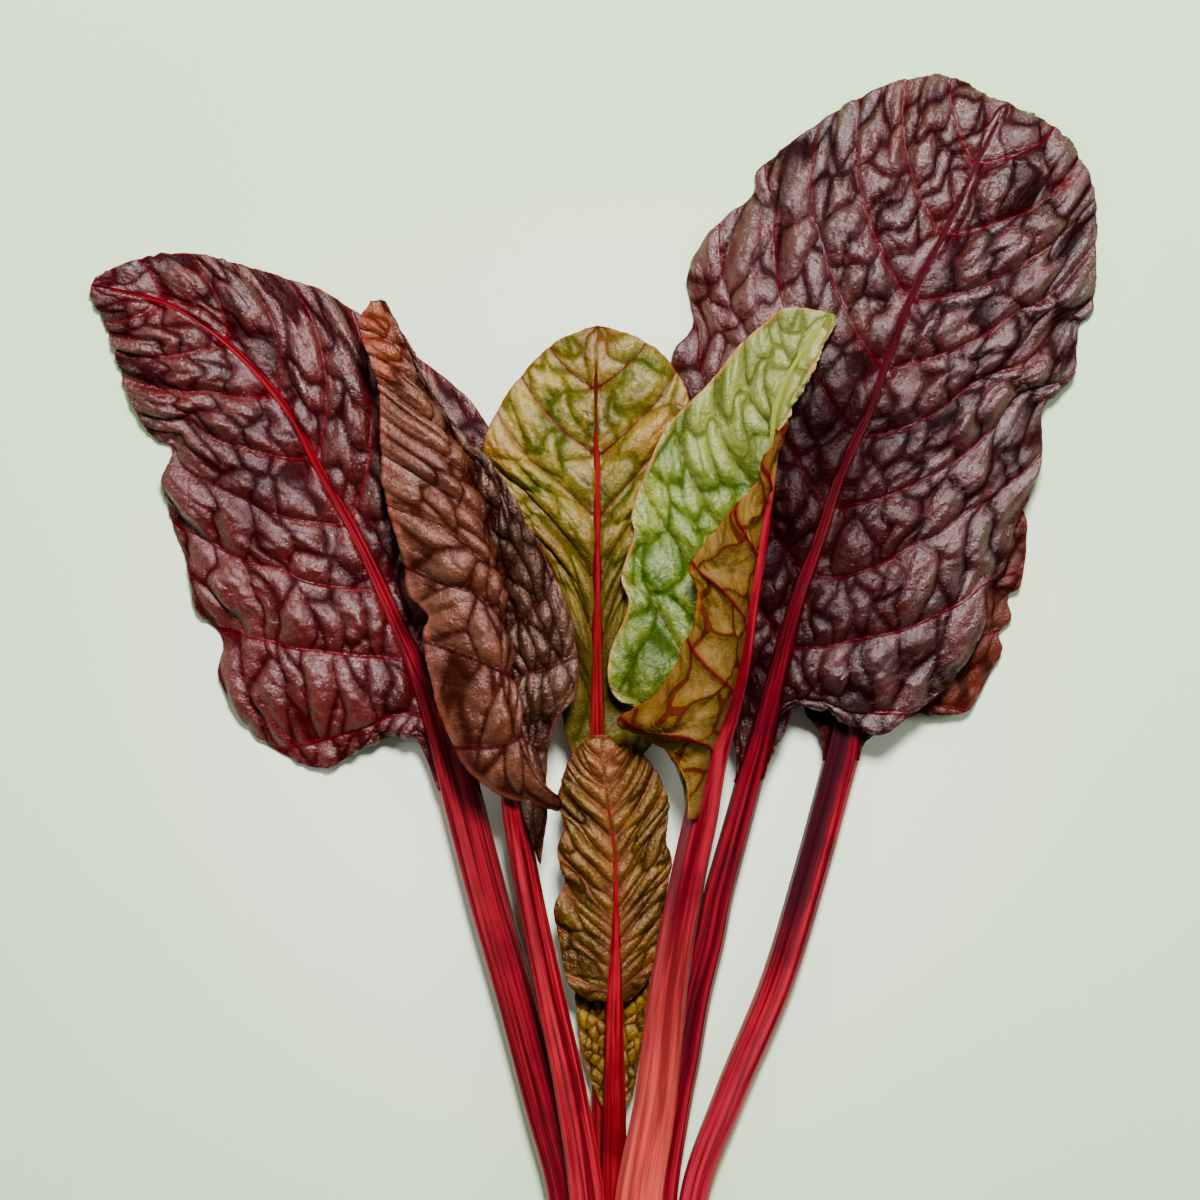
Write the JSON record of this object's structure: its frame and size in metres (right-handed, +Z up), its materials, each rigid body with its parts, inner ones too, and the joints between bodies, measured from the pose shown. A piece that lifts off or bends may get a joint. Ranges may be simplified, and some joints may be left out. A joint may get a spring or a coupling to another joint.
{
  "type": "swiss chard bunch",
  "caption": "Loose bunch of cut swiss chard lying flat: red stalks that run on as midribs, and puckered blades from burgundy to green.",
  "frame": {"origin": "middle of the bunch's bounding box, on the surface that it lies on", "axes": "+Z up from the surface, +Y from the cut ends towards the leaf tips, +X to the right of the picture"},
  "size_m": [0.3549, 0.43, 0.0362],
  "materials": {
    "stalk_crimson": "satin",
    "stalk_coral": "satin",
    "blade_burgundy": "glossy",
    "blade_dark_burgundy": "glossy",
    "blade_bronze": "satin",
    "blade_olive": "satin",
    "blade_green": "satin",
    "blade_rusty": "satin",
    "blade_olive_bronze": "satin"
  },
  "bodies": {
    "root": {"left_leaf_stalk": "stalk_crimson", "left_leaf_blade": "blade_burgundy", "folded_bronze_leaf_stalk": "stalk_crimson", "folded_bronze_leaf_blade": "blade_bronze", "middle_olive_leaf_stalk": "stalk_crimson", "middle_olive_leaf_blade": "blade_olive", "folded_green_leaf_stalk": "stalk_coral", "folded_green_leaf_blade": "blade_green", "right_leaf_stalk": "stalk_crimson", "right_leaf_blade": "blade_dark_burgundy", "back_right_leaf_stalk": "stalk_crimson", "back_right_leaf_blade": "blade_rusty", "small_front_leaf_stalk": "stalk_crimson", "small_front_leaf_blade": "blade_olive_bronze", "tiny_leaf_stalk": "stalk_crimson", "tiny_leaf_blade": "blade_olive_bronze"}
  },
  "joints": []
}
